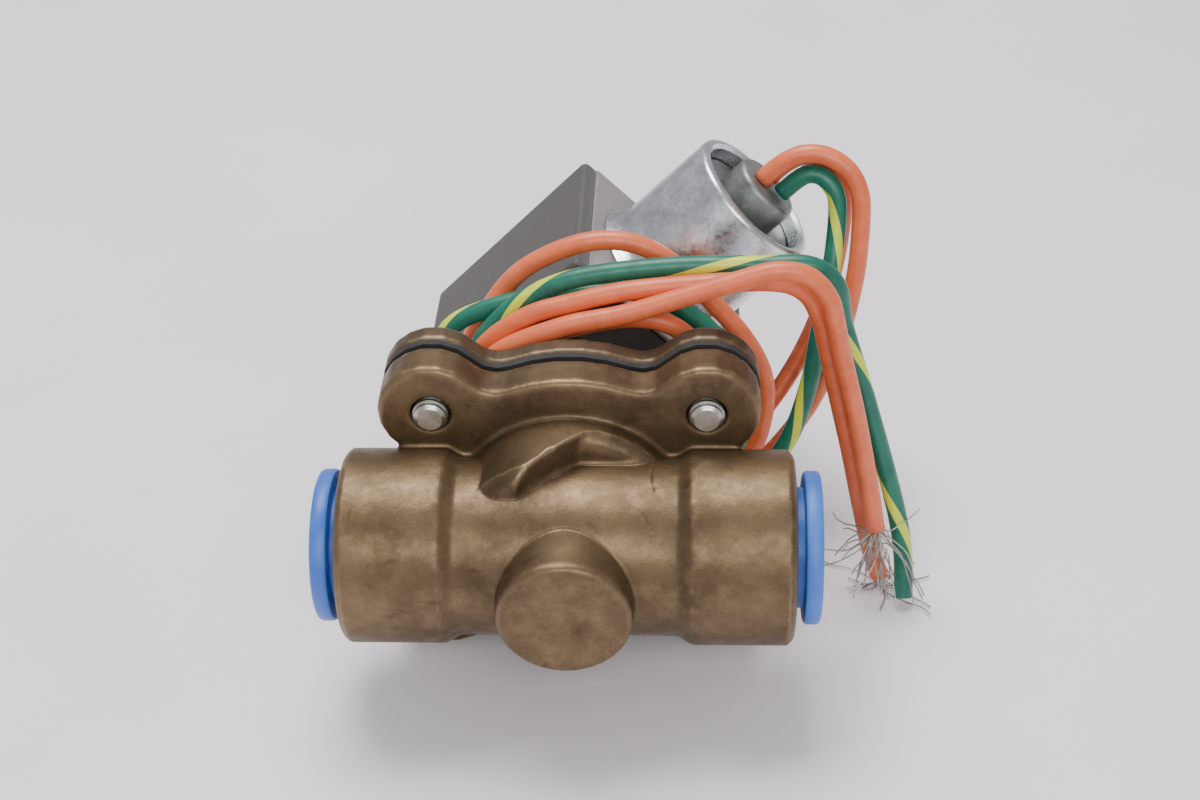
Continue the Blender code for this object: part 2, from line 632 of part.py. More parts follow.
def build_coil():
    middle = (0, (COIL_NEAR + COIL_FAR) / 2, 0)
    length = COIL_FAR - COIL_NEAR
    size = (COIL_SIDE, length, COIL_SIDE)
    housing = box("coil_housing", size, EPOXY, middle, ALONG_CONDUIT, COIL_EDGE)
    winding_room = ring("winding_room", COIL_BORE_R - 1, WINDING_R, WINDING_NEAR, WINDING_FAR)
    bore = rod("coil_bore", COIL_BORE_R, COIL_NEAR - 1, COIL_FAR + 1, steps=32)

    plate_out = COIL_SIDE / 2
    across = Vector((math.sin(HUB_TILT), 0, math.cos(HUB_TILT)))
    plate_depth = 1.2
    plate_width = 35.0
    pocket_at = across * (plate_out + 1 - plate_depth / 2) + Vector((0, middle[1], 0))
    pocket_size = (plate_width + 2 * GAP, length + 4, plate_depth + 2)
    pocket = box("plate_pocket", pocket_size, None, pocket_at, ALONG_CONDUIT)
    plate_thick = plate_depth - GAP
    plate_at = across * (plate_out - plate_thick / 2) + Vector((0, middle[1], 0))
    box("hub_plate", (plate_width, length, plate_thick), PAINTED_PLATE, plate_at, ALONG_CONDUIT, 0.25, 1)

    label_at = (-10.75, COIL_NEAR, 10.75)
    label_pocket = box("label_pocket", (8.0, 1.6, 21.0), None, label_at, ALONG_CONDUIT)
    label_face = (label_at[0], COIL_NEAR + 0.3, label_at[2])
    box("nameplate", (7.4, 0.4, 20.4), LABEL, label_face, ALONG_CONDUIT)
    for helper in (winding_room, bore, pocket, label_pocket):
        boolean(housing, as_cutter(helper))

    inner = COIL_BORE_R + GAP
    wall = 0.8
    flange_r = WINDING_R - GAP
    near = WINDING_NEAR + GAP
    far = WINDING_FAR - GAP
    cheek = 1.2
    bobbin = [
        (inner, far),
        (flange_r, far),
        (flange_r, far - cheek),
        (inner + wall, far - cheek),
        (inner + wall, near + cheek),
        (flange_r, near + cheek),
        (flange_r, near),
        (inner, near),
    ]
    turned("coil_bobbin", bobbin, BOBBIN, ring=True)
    ring("coil_winding", inner + wall + GAP, flange_r - 0.4, near + cheek + GAP, far - cheek - GAP, ENAMEL)


def build_retainer():
    washer_bottom = COIL_FAR + GAP
    ring("spring_washer", STUD_R + 0.4, 10.5, washer_bottom, washer_bottom + 1.2, PLATED_STEEL)
    nut_bottom = washer_bottom + 1.2 + GAP
    nut = hexagon("retaining_nut", NUT_FLATS, nut_bottom, nut_bottom + 4.5, (0, 0, 0))
    nut.data.materials.append(PLATED_STEEL)
    boolean(nut, as_cutter(rod("nut_hole", STUD_R + 0.3, nut_bottom - 1, nut_bottom + 6)))


def build_conduit():
    base = COIL_SIDE / 2 + GAP
    hub = [
        (0, CONDUIT_FLOOR),
        (CONDUIT_BORE_R, CONDUIT_FLOOR),
        (CONDUIT_BORE_R, CONDUIT_END - 0.6),
        (CONDUIT_BORE_R + 0.6, CONDUIT_END),
        *rounded(CONDUIT_R, CONDUIT_END, 0.9),
        (CONDUIT_R, base + 3.2),
        (CONDUIT_R + 0.5, base + 1.6),
        (CONDUIT_R + 1.8, base),
        (0, base),
    ]
    turned("conduit_hub", hub, ZINC, (0, CONDUIT_Y, 0), ALONG_CONDUIT, 32)
    fill = [
        (0, BUSHING_END),
        *rounded(BUSHING_R, BUSHING_END, 0.9),
        (BUSHING_R, 40.4),
        (CONDUIT_BORE_R - GAP, 40.4),
        (CONDUIT_BORE_R - GAP, CONDUIT_FLOOR + GAP),
        (0, CONDUIT_FLOOR + GAP),
    ]
    turned("lead_bushing", fill, BUSHING_FILL, (0, CONDUIT_Y, 0), ALONG_CONDUIT, 28)


def build_cap(name, turn):
    face = BODY_HALF + CAP_GAP + CAP_THICK
    inside = BODY_HALF + CAP_GAP
    cap = [
        (0, face - 1.6),
        (8.0, face - 1.6),
        (8.4, face),
        *rounded(CAP_R, face, 0.6, count=2),
        *rounded(CAP_R, inside, 0.6, upper=False, count=2),
        (PLUG_R, inside),
        (PLUG_R, PLUG_END + 1.2),
        (PLUG_R - 1.0, PLUG_END),
        (0, PLUG_END),
    ]
    turned(name, cap, BLUE_PLASTIC, turn=turn)


def build_lead(name, route, material):
    points = smooth_route([Vector(point) for point in route], LEAD_STEP)
    tube(name, points, LEAD_D / 2, material)
    return (points[-1] - points[-2]).normalized(), points[-1]


def build_conductor(name, route_end, reach, floor_z):
    """A bared strand bundle that starts a gap past the insulation and bends down to the surface."""
    ahead, end = route_end
    start = end + ahead * GAP
    middle = start + ahead * (reach * 0.35)
    tip = start + ahead * reach
    points = [start, middle, tip]
    for point in points:
        point.z = max(point.z, floor_z)
    tube(name, points, CONDUCTOR_R, TINNED, 1)


build_body()
build_diaphragm()
build_bonnet()
for number, (bolt_x, bolt_z) in enumerate(
    [(-BOLT_X, BOLT_Z), (BOLT_X, BOLT_Z), (-BOLT_X, -BOLT_Z), (BOLT_X, -BOLT_Z)], 1
):
    build_bolt(number, bolt_x, bolt_z)
build_poppet()
build_solenoid_core()
build_coil()
build_retainer()
build_conduit()
build_cap("inlet_cap", AGAINST_X)
build_cap("outlet_cap", ALONG_X)
orange_1_end = build_lead("lead_orange_1", ROUTE_ORANGE_1, ORANGE)
orange_2_end = build_lead("lead_orange_2", ROUTE_ORANGE_2, ORANGE)
build_lead("lead_ground", ROUTE_GROUND, GREEN)
build_conductor("conductor_1", orange_1_end, 12.0, CONDUCTOR_R + 0.1 - LIFT)
build_conductor("conductor_2", orange_2_end, 5.0, CONDUCTOR_R + 0.1 - LIFT)
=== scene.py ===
"""Looks of the solenoid valve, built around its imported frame. Lengths are millimetres times MM."""
import math
import random

import bmesh
import bpy
import numpy as np
from mathutils import Matrix, Vector


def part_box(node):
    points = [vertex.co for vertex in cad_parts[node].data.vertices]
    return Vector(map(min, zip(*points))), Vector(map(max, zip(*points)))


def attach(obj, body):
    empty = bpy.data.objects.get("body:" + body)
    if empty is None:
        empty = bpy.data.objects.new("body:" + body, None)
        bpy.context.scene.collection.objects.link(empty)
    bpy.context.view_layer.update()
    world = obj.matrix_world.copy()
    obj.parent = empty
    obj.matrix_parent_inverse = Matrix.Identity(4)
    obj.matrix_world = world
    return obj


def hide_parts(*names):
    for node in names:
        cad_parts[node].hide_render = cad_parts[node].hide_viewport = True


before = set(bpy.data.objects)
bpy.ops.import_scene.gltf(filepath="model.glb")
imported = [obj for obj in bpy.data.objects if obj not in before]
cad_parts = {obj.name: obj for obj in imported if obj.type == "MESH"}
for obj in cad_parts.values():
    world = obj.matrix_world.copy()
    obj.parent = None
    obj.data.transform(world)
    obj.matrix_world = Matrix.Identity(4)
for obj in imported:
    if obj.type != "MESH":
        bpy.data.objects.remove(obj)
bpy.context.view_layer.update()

MM = 0.001

# ---------------------------------------------------------------- places, worked out from the frame


def middle_of(node):
    low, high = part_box(node)
    return (low + high) / 2


AXIS = middle_of("core_tube")
BOSS_END_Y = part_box("valve_body")[0].y
BOSS_LENGTH = 18.5 * MM
VALVE = Vector((0.0, BOSS_END_Y + BOSS_LENGTH, AXIS.z))
LEAD_D = 3.3 * MM


def at(x, y, z):
    """A point in valve coordinates, in millimetres, as a point of the row frame."""
    return VALVE + Vector((x, y, z)) * MM


# ---------------------------------------------------------------- camera

CAMERA_FROM = at(18.6, -247.9, 202.0)
CAMERA_TO = at(4.8, 13.5, 19.0)
CAMERA_ROLL = math.radians(-1.55)
CAMERA_LENS = 60.0


def make_camera():
    data = bpy.data.cameras.new("camera")
    data.lens = CAMERA_LENS
    data.sensor_width = 36.0
    data.clip_start = 0.01
    camera = bpy.data.objects.new("camera", data)
    aim = (CAMERA_TO - CAMERA_FROM).to_track_quat("-Z", "Y").to_matrix().to_4x4()
    camera.matrix_world = Matrix.Translation(CAMERA_FROM) @ aim @ Matrix.Rotation(CAMERA_ROLL, 4, "Z")
    bpy.context.scene.collection.objects.link(camera)
    bpy.context.scene.camera = camera


make_camera()

# ---------------------------------------------------------------- material tools


class Paint:
    """A node material with a few short-hand calls."""

    def __init__(self, name):
        self.material = bpy.data.materials.new(name)
        self.material.use_nodes = True
        self.tree = self.material.node_tree
        self.shader = self.tree.nodes["Principled BSDF"]
        self.coords = self.tree.nodes.new("ShaderNodeTexCoord").outputs["Object"]

    def set(self, **values):
        for name, value in values.items():
            self.shader.inputs[name.replace("_", " ")].default_value = value
        return self

    def link(self, source, target):
        self.tree.links.new(source, target)

    def stretched(self, scale):
        node = self.tree.nodes.new("ShaderNodeMapping")
        node.inputs["Scale"].default_value = scale
        self.link(self.coords, node.inputs["Vector"])
        return node.outputs["Vector"]

    def noise(self, size_mm, detail=4.0, rough=0.55, vector=None, distortion=0.0):
        node = self.tree.nodes.new("ShaderNodeTexNoise")
        node.inputs["Scale"].default_value = 1000.0 / size_mm
        node.inputs["Detail"].default_value = detail
        node.inputs["Roughness"].default_value = rough
        node.inputs["Distortion"].default_value = distortion
        self.link(vector or self.coords, node.inputs["Vector"])
        return node.outputs["Fac"]

    def remap(self, value, low, high, to_low=0.0, to_high=1.0):
        node = self.tree.nodes.new("ShaderNodeMapRange")
        node.inputs["From Min"].default_value = low
        node.inputs["From Max"].default_value = high
        node.inputs["To Min"].default_value = to_low
        node.inputs["To Max"].default_value = to_high
        self.link(value, node.inputs["Value"])
        return node.outputs["Result"]

    def math(self, operation, a, b):
        node = self.tree.nodes.new("ShaderNodeMath")
        node.operation = operation
        for socket, value in zip(node.inputs, (a, b)):
            if isinstance(value, (int, float)):
                socket.default_value = value
            else:
                self.link(value, socket)
        return node.outputs["Value"]

    def mix(self, share, a, b):
        node = self.tree.nodes.new("ShaderNodeMix")
        node.data_type = "RGBA"
        self.link(share, node.inputs["Factor"])
        for socket, value in ((node.inputs["A"], a), (node.inputs["B"], b)):
            if isinstance(value, tuple):
                socket.default_value = (*value, 1.0)
            else:
                self.link(value, socket)
        return node.outputs["Result"]

    def edges(self, low, high):
        """Grows from 0 to 1 over convex edges."""
        geometry = self.tree.nodes.new("ShaderNodeNewGeometry")
        return self.remap(geometry.outputs["Pointiness"], low, high)

    def colour(self, value):
        self.link(value, self.shader.inputs["Base Color"])
        return self

    def rough(self, value):
        self.link(value, self.shader.inputs["Roughness"])
        return self

    def bump(self, height, depth_mm, strength=1.0, below=None):
        node = self.tree.nodes.new("ShaderNodeBump")
        node.inputs["Distance"].default_value = depth_mm * MM
        node.inputs["Strength"].default_value = strength
        self.link(height, node.inputs["Height"])
        if below is not None:
            self.link(below, node.inputs["Normal"])
        self.link(node.outputs["Normal"], self.shader.inputs["Normal"])
        return node.outputs["Normal"]


def bronze_material(name, dark, middle, light, worn):
    """Sandblasted cast bronze: mottled brown, darker stains, brighter rubbed edges."""
    paint = Paint(name).set(Metallic=0.75, Specular_IOR_Level=0.45)
    broad = paint.noise(14.0, 5.0, 0.6)
    cloud = paint.noise(3.2, 6.0, 0.65)
    grain = paint.noise(0.35, 3.0, 0.7)
    base = paint.mix(paint.remap(broad, 0.35, 0.68), dark, middle)
    base = paint.mix(paint.remap(cloud, 0.45, 0.75, 0.0, 0.45), base, light)
    stain = paint.remap(paint.noise(5.5, 4.0, 0.5, distortion=1.5), 0.62, 0.72, 0.0, 0.4)
    base = paint.mix(stain, base, tuple(0.45 * c for c in dark))
    base = paint.mix(paint.remap(grain, 0.35, 0.75, 0.0, 0.4), base, dark)
    base = paint.mix(paint.math("MULTIPLY", paint.edges(0.512, 0.56), 0.75), base, worn)
    paint.colour(base)
    paint.rough(paint.remap(cloud, 0.3, 0.75, 0.5, 0.36))
    fine = paint.bump(grain, 0.035, 0.7)
    paint.bump(paint.noise(1.6, 4.0, 0.6), 0.06, 0.6, below=fine)
    return paint.material


def metal_material(name, base, shade, roughness, grain_mm=1.2, metallic=1.0):
    paint = Paint(name).set(Metallic=metallic)
    grain = paint.noise(grain_mm, 5.0, 0.65)
    blotch = paint.noise(4.5, 4.0, 0.6)
    paint.colour(paint.mix(paint.remap(blotch, 0.35, 0.7), shade, base))
    fine_change = paint.remap(grain, 0.3, 0.7, -0.08, 0.1)
    broad_change = paint.remap(blotch, 0.3, 0.7, -0.04, 0.06)
    mixed = paint.math("ADD", fine_change, broad_change)
    paint.rough(paint.math("ADD", mixed, roughness))
    paint.bump(grain, 0.02, 0.5)
    return paint.material


def moulded_material(name, base, shade, roughness, grain_mm=0.25, bump_mm=0.012, **sockets):
    paint = Paint(name).set(**sockets)
    grain = paint.noise(grain_mm, 3.0, 0.6)
    blotch = paint.noise(6.0, 4.0, 0.6)
    paint.colour(paint.mix(paint.remap(blotch, 0.35, 0.7), base, shade))
    paint.rough(paint.math("ADD", paint.remap(blotch, 0.3, 0.7, -0.06, 0.08), roughness))
    paint.bump(grain, bump_mm, 0.6)
    return paint.material


def scratched_material(name, base, shade, scratch, roughness, amount=0.5, metallic=0.0):
    """A dark surface with thin light scratches and rubbed edges."""
    paint = Paint(name).set(Metallic=metallic, Specular_IOR_Level=0.3)
    grain = paint.noise(0.4, 3.0, 0.6)
    blotch = paint.noise(9.0, 5.0, 0.65)
    lines = paint.noise(1.4, 2.0, 0.5, paint.stretched((1.0, 0.06, 0.35)), 0.4)
    lines_2 = paint.noise(1.8, 2.0, 0.5, paint.stretched((0.08, 1.0, 0.1)), 0.6)
    mask = paint.remap(paint.noise(7.0, 3.0, 0.5), 0.52, 0.66)
    marks = paint.math("MAXIMUM", paint.remap(lines, 0.69, 0.73), paint.remap(lines_2, 0.71, 0.75))
    marks = paint.math("MULTIPLY", marks, mask)
    marks = paint.math("MULTIPLY", marks, amount)
    colour = paint.mix(paint.remap(blotch, 0.3, 0.7), base, shade)
    colour = paint.mix(marks, colour, scratch)
    colour = paint.mix(paint.math("MULTIPLY", paint.edges(0.52, 0.6), 0.5), colour, scratch)
    paint.colour(colour)
    paint.rough(paint.math("ADD", paint.remap(blotch, 0.3, 0.7, -0.07, 0.09), roughness))
    fine = paint.bump(grain, 0.03, 0.6)
    paint.bump(marks, 0.03, 0.5, below=fine)
    return paint.material


def insulation_material(name, base, shade, stripe=None):
    """Extruded wire insulation, with an optional spiral stripe from the sweep's own coordinates."""
    paint = Paint(name).set(Coat_Weight=0.12, Coat_Roughness=0.3)
    blotch = paint.noise(3.0, 4.0, 0.6)
    grime = paint.remap(paint.noise(7.0, 5.0, 0.7), 0.55, 0.75, 0.0, 0.35)
    colour = paint.mix(paint.remap(blotch, 0.35, 0.7), base, shade)
    if stripe:
        turn = paint.tree.nodes.new("ShaderNodeUVMap")
        turn.uv_map = "sweep"
        split = paint.tree.nodes.new("ShaderNodeSeparateXYZ")
        paint.link(turn.outputs["UV"], split.inputs["Vector"])
        spiral = paint.math("FRACT", paint.math("ADD", split.outputs["X"], split.outputs["Y"]), 0.0)
        inside = paint.math("MULTIPLY", paint.remap(spiral, 0.02, 0.03), paint.remap(spiral, 0.19, 0.18))
        colour = paint.mix(inside, colour, stripe)
    colour = paint.mix(grime, colour, tuple(0.55 * c for c in shade))
    paint.colour(colour)
    paint.rough(paint.remap(blotch, 0.3, 0.7, 0.34, 0.48))
    paint.bump(paint.noise(0.5, 3.0, 0.6), 0.01, 0.5)
    return paint.material


BRONZE = bronze_material(
    "cast bronze", (0.085, 0.055, 0.029), (0.19, 0.128, 0.068), (0.27, 0.188, 0.103), (0.38, 0.265, 0.15)
)
BONNET_BRONZE = bronze_material(
    "bonnet bronze", (0.07, 0.047, 0.028), (0.15, 0.105, 0.062), (0.22, 0.157, 0.095), (0.4, 0.28, 0.18)
)
ZINC = metal_material("die cast zinc", (0.78, 0.8, 0.83), (0.56, 0.58, 0.61), 0.28, 0.8)
PLATED = metal_material("zinc plating", (0.6, 0.59, 0.54), (0.4, 0.4, 0.36), 0.32, 0.7)
STAINLESS = metal_material("stainless steel", (0.6, 0.6, 0.6), (0.45, 0.45, 0.46), 0.25, 0.5)
COPPER = metal_material("bare copper", (0.75, 0.38, 0.22), (0.55, 0.25, 0.13), 0.3, 0.6)
TINNED = metal_material("tinned strand", (0.55, 0.53, 0.49), (0.3, 0.28, 0.25), 0.32, 0.4)
ENAMEL = metal_material("magnet wire", (0.42, 0.13, 0.06), (0.25, 0.07, 0.03), 0.3, 0.4)
BUSHING = metal_material("bushing metal", (0.3, 0.33, 0.31), (0.17, 0.19, 0.18), 0.42, 0.7, metallic=0.8)
EPOXY = scratched_material(
    "coil moulding", (0.026, 0.024, 0.025), (0.042, 0.039, 0.04), (0.25, 0.24, 0.23), 0.55, 0.45
)
PLATE = scratched_material(
    "painted plate", (0.05, 0.044, 0.04), (0.085, 0.075, 0.067), (0.45, 0.42, 0.4), 0.5, 0.8, 0.1
)
RUBBER = moulded_material("black rubber", (0.012, 0.012, 0.013), (0.03, 0.03, 0.03), 0.7)
BOBBIN = moulded_material("bobbin plastic", (0.5, 0.46, 0.36), (0.4, 0.36, 0.28), 0.45)
BLUE = moulded_material(
    "blue plastic", (0.035, 0.125, 0.5), (0.055, 0.18, 0.6), 0.42, 0.6, 0.02, Subsurface_Weight=0.15,
    Subsurface_Radius=(0.001, 0.0015, 0.004), Subsurface_Scale=1.0,
)
LABEL = moulded_material("blank label", (0.1, 0.09, 0.03), (0.16, 0.14, 0.06), 0.35)
ORANGE = insulation_material("orange insulation", (0.79, 0.17, 0.06), (0.68, 0.12, 0.04))
GREEN = insulation_material(
    "green insulation", (0.004, 0.17, 0.1), (0.003, 0.11, 0.075), (0.62, 0.72, 0.05)
)

# ---------------------------------------------------------------- mesh tools


def new_piece(name, mesh, material, body, replaces=(), smooth=True):
    piece = bpy.data.objects.new(name, mesh)
    bpy.context.scene.collection.objects.link(piece)
    mesh.materials.clear()
    mesh.materials.append(material)
    if smooth:
        for face in mesh.polygons:
            face.use_smooth = True
    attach(piece, body)
    if replaces:
        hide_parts(*replaces)
    return piece


def smooth_route(points, step):
    """Points every step along a smooth curve through the route."""
    padded = [points[0] * 2 - points[1], *points, points[-1] * 2 - points[-2]]
    fine = []
    for i in range(1, len(padded) - 2):
        before, start, end, after = padded[i - 1 : i + 3]
        for part in range(12):
            t = part / 12
            fine.append(
                0.5
                * (
                    2 * start
                    + (end - before) * t
                    + (2 * before - 5 * start + 4 * end - after) * t**2
                    + (3 * start - before - 3 * end + after) * t**3
                )
            )
    fine.append(points[-1])
    lengths = [0.0]
    for i in range(1, len(fine)):
        lengths.append(lengths[-1] + (fine[i] - fine[i - 1]).length)
    count = max(2, round(lengths[-1] / step))
    route = []
    place = 0
    for i in range(count + 1):
        target = lengths[-1] * i / count
        while place < len(fine) - 2 and lengths[place + 1] < target:
            place += 1
        share = (target - lengths[place]) / (lengths[place + 1] - lengths[place])
        route.append(fine[place].lerp(fine[place + 1], share))
    return route


def sweep_mesh(name, points, radius, sides, stripe_pitch):
    """A capped tube that carries turn and pitch coordinates in a UV layer."""
    shape = bmesh.new()
    uv = shape.loops.layers.uv.new("sweep")
    tangents = []
    for i in range(len(points)):
        ahead = points[min(i + 1, len(points) - 1)] - points[max(i - 1, 0)]
        tangents.append(ahead.normalized())
    side = tangents[0].orthogonal().normalized()
    rings = []
    travelled = 0.0
    along = []
    for i, (point, tangent) in enumerate(zip(points, tangents)):
        side = (side - tangent * side.dot(tangent)).normalized()
        up = tangent.cross(side)
        if i:
            travelled += (point - points[i - 1]).length
        along.append(travelled / stripe_pitch)
        ring = []
        for k in range(sides):
            angle = math.tau * k / sides
            ring.append(shape.verts.new(point + (side * math.cos(angle) + up * math.sin(angle)) * radius))
        rings.append(ring)
    for i in range(len(rings) - 1):
        for k in range(sides):
            following = (k + 1) % sides
            near, far = rings[i], rings[i + 1]
            face = shape.faces.new((near[k], near[following], far[following], far[k]))
            turns = (k / sides, (k + 1) / sides, (k + 1) / sides, k / sides)
            rows = (along[i], along[i], along[i + 1], along[i + 1])
            for loop, turn, row in zip(face.loops, turns, rows):
                loop[uv].uv = (turn, row)
    shape.faces.new(list(reversed(rings[0])))
    shape.faces.new(rings[-1])
    bmesh.ops.recalc_face_normals(shape, faces=shape.faces)
    mesh = bpy.data.meshes.new(name)
    shape.to_mesh(mesh)
    shape.free()
    return mesh


# ---------------------------------------------------------------- leads

ROUTE_ORANGE_1 = [
    (31.6, 57.8, 34.6), (34.2, 57.8, 37.2), (38.0, 57.8, 39.4), (42.3, 57.4, 39.4), (46.1, 56.5, 37.2),
    (48.3, 55.3, 33.2), (48.6, 53.8, 28.0), (47.8, 50.8, 18.5), (45.0, 47.2, 7.5),
    (40.2, 44.6, -4.0), (31.8, 42.0, -14.6),
    (20.0, 39.4, -22.2), (6.0, 37.8, -26.0), (-8.0, 37.8, -25.0), (-18.0, 37.8, -17.5), (-22.0, 37.8, -5.0),
    (-21.0, 38.0, 8.0), (-16.6, 38.0, 17.7), (-10.3, 38.1, 27.0), (-3.0, 38.0, 32.0), (4.3, 38.0, 34.1),
    (11.2, 38.0, 33.0), (17.2, 38.0, 28.8), (22.6, 38.0, 22.4), (28.0, 38.0, 15.5), (31.5, 37.8, 8.5),
    (32.3, 37.3, 1.5), (30.1, 36.0, -7.3), (24.0, 34.0, -15.5), (14.0, 30.0, -20.7), (2.0, 27.0, -22.2),
    (-9.0, 24.4, -20.4), (-17.4, 23.7, -13.4), (-19.9, 23.7, -1.0), (-16.8, 23.7, 11.0),
    (-13.0, 23.6, 20.6), (-2.0, 23.6, 26.2), (8.7, 23.6, 28.8), (19.2, 23.6, 32.4), (26.6, 23.6, 35.0),
    (32.6, 23.7, 36.8), (37.8, 23.8, 35.8), (41.2, 23.9, 31.8), (42.6, 23.9, 26.6), (43.9, 23.8, 20.5),
    (46.5, 23.0, 9.9), (49.1, 22.0, -2.6), (50.9, 21.0, -12.8),
]
ROUTE_ORANGE_2 = [
    (33.1, 61.5, 33.1), (35.6, 61.5, 35.6), (38.3, 61.4, 37.2), (41.4, 61.0, 37.2), (44.1, 60.6, 35.6),
    (45.6, 59.9, 32.5), (45.8, 58.6, 27.5), (44.8, 56.4, 19.5), (42.4, 53.2, 11.0),
    (38.4, 49.8, 2.5), (33.0, 46.2, -5.0), (26.5, 42.0, -10.8),
    (19.0, 38.0, -13.5), (10.0, 36.0, -14.2), (0.0, 33.0, -14.0), (-9.0, 29.6, -12.0), (-15.0, 28.2, -4.0),
    (-16.5, 28.0, 5.5), (-12.5, 28.0, 14.8), (-5.5, 28.0, 21.2), (3.5, 28.0, 24.4), (11.5, 28.0, 25.2),
    (17.6, 28.0, 22.8), (22.3, 28.0, 16.0), (24.2, 28.0, 7.0), (23.6, 27.8, -2.5), (20.0, 27.4, -10.0),
    (12.5, 27.3, -15.3), (3.0, 27.3, -17.2), (-8.0, 27.3, -16.8), (-16.5, 27.6, -11.0), (-20.8, 27.3, -1.0),
    (-19.6, 27.3, 11.0), (-14.8, 27.2, 20.3), (-7.5, 27.3, 26.0), (0.0, 27.3, 28.6), (8.5, 27.3, 30.8),
    (20.8, 27.3, 32.2), (32.6, 27.4, 32.6), (37.6, 27.5, 30.6), (40.2, 27.6, 26.0), (41.9, 27.7, 19.0),
    (44.2, 27.5, 9.0), (46.4, 27.0, -0.5), (48.6, 26.5, -11.0), (50.6, 25.8, -20.0), (52.6, 25.0, -26.6),
]
ROUTE_GROUND = [
    (34.9, 57.8, 31.9), (37.2, 57.8, 34.2), (39.3, 57.8, 35.6), (41.5, 57.5, 35.5), (43.3, 56.7, 34.2),
    (44.4, 55.8, 32.0), (44.5, 54.3, 27.5), (43.6, 50.8, 20.5), (42.0, 46.8, 12.5),
    (40.0, 42.8, 1.5), (36.0, 39.4, -8.8), (27.6, 36.6, -18.8),
    (15.0, 34.4, -25.0), (1.0, 34.0, -26.5), (-12.0, 34.0, -24.0), (-21.5, 34.2, -15.5),
    (-25.5, 34.4, -3.0), (-25.5, 34.4, 9.5), (-21.6, 34.5, 18.8), (-14.5, 34.5, 23.0), (-4.9, 34.5, 25.5),
    (6.0, 34.5, 26.4), (13.0, 34.4, 25.8), (18.4, 34.4, 22.5), (24.0, 34.4, 17.0), (27.8, 34.4, 10.8),
    (28.8, 34.0, 4.0), (27.2, 33.0, -4.0), (22.2, 32.2, -11.4), (13.0, 31.7, -16.9), (0.0, 31.3, -19.6),
    (-10.5, 31.1, -17.6), (-17.6, 31.0, -10.0), (-19.8, 31.0, 0.0), (-18.8, 31.0, 11.0),
    (-14.9, 30.9, 20.0), (-8.9, 31.0, 26.4), (-2.1, 31.0, 30.2), (5.5, 31.1, 32.0), (17.5, 31.1, 33.3),
    (30.5, 31.2, 33.4), (38.6, 31.4, 33.2), (43.0, 31.6, 29.4), (44.6, 31.4, 21.5), (48.0, 29.4, 11.0),
    (52.1, 27.0, -2.6), (55.0, 24.6, -13.1), (56.2, 22.3, -20.2), (56.4, 19.4, -26.6),
]
STRIPE_PITCH = 34 * MM
ROUTE_STEP = 1.1 * MM
LEAD_SIDES = 16
TUBE_R = LEAD_D / 2


def make_lead(name, route, material, node):
    points = smooth_route([at(*point) for point in route], ROUTE_STEP)
    mesh = sweep_mesh(name, points, TUBE_R, LEAD_SIDES, STRIPE_PITCH)
    lead = new_piece(name, mesh, material, "valve", (node,))
    return points


def frayed_end(name, end, ahead, count, spread, seed):
    """Fine tinned strands that fan out from a stripped end and settle on the surface."""
    dice = random.Random(seed)
    curve = bpy.data.curves.new(name, "CURVE")
    curve.dimensions = "3D"
    curve.bevel_depth = 0.13 * MM
    curve.bevel_resolution = 1
    curve.use_fill_caps = True
    side = ahead.orthogonal().normalized()
    up = ahead.cross(side)
    for _ in range(count):
        around = dice.uniform(0, math.tau)
        root = end + (side * math.cos(around) + up * math.sin(around)) * dice.uniform(0, 0.9) * MM
        heading = (ahead + Vector([dice.uniform(-spread, spread) for _ in range(3)])).normalized()
        point = root - ahead * 0.5 * MM
        step = dice.uniform(0.7, 1.4) * MM
        bend = Vector([dice.uniform(-0.9, 0.9) for _ in range(3)])
        track = [point.copy()]
        for i in range(11):
            wander = Vector([dice.uniform(-0.25, 0.25) for _ in range(3)])
            heading = (heading + bend * 0.3 + wander).normalized()
            heading.z -= 0.03 * i
            point = point + heading * step
            point.z = max(point.z, 0.25 * MM)
            track.append(point.copy())
        spline = curve.splines.new("POLY")
        spline.points.add(len(track) - 1)
        for knot, place in zip(spline.points, track):
            knot.co = (*place, 1.0)
    fan = bpy.data.objects.new(name, curve)
    bpy.context.scene.collection.objects.link(fan)
    curve.materials.append(TINNED)
    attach(fan, "valve")
    return fan


def make_leads():
    for key, route in (("1", ROUTE_ORANGE_1), ("2", ROUTE_ORANGE_2)):
        tail = [at(*point) for point in route[-2:]]
        ahead = (tail[1] - tail[0]).normalized()
        count, spread = (34, 0.5) if key == "1" else (16, 0.3)
        fan = frayed_end(f"frayed_strands_{key}", tail[1], ahead, count, spread, 5 + int(key))
        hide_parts(f"conductor_{key}")
    make_lead("orange_lead_1", ROUTE_ORANGE_1, ORANGE, "lead_orange_1")
    make_lead("orange_lead_2", ROUTE_ORANGE_2, ORANGE, "lead_orange_2")
    make_lead("ground_lead", ROUTE_GROUND, GREEN, "lead_ground")


make_leads()

# ---------------------------------------------------------------- castings


# A point is moved when it is this near to the cylinder, and fully when it is nearer by the fade.
TRUE_UP_REACH = 0.3
TRUE_UP_FADE = 0.12
TRUE_UP_END_FADE = 0.5


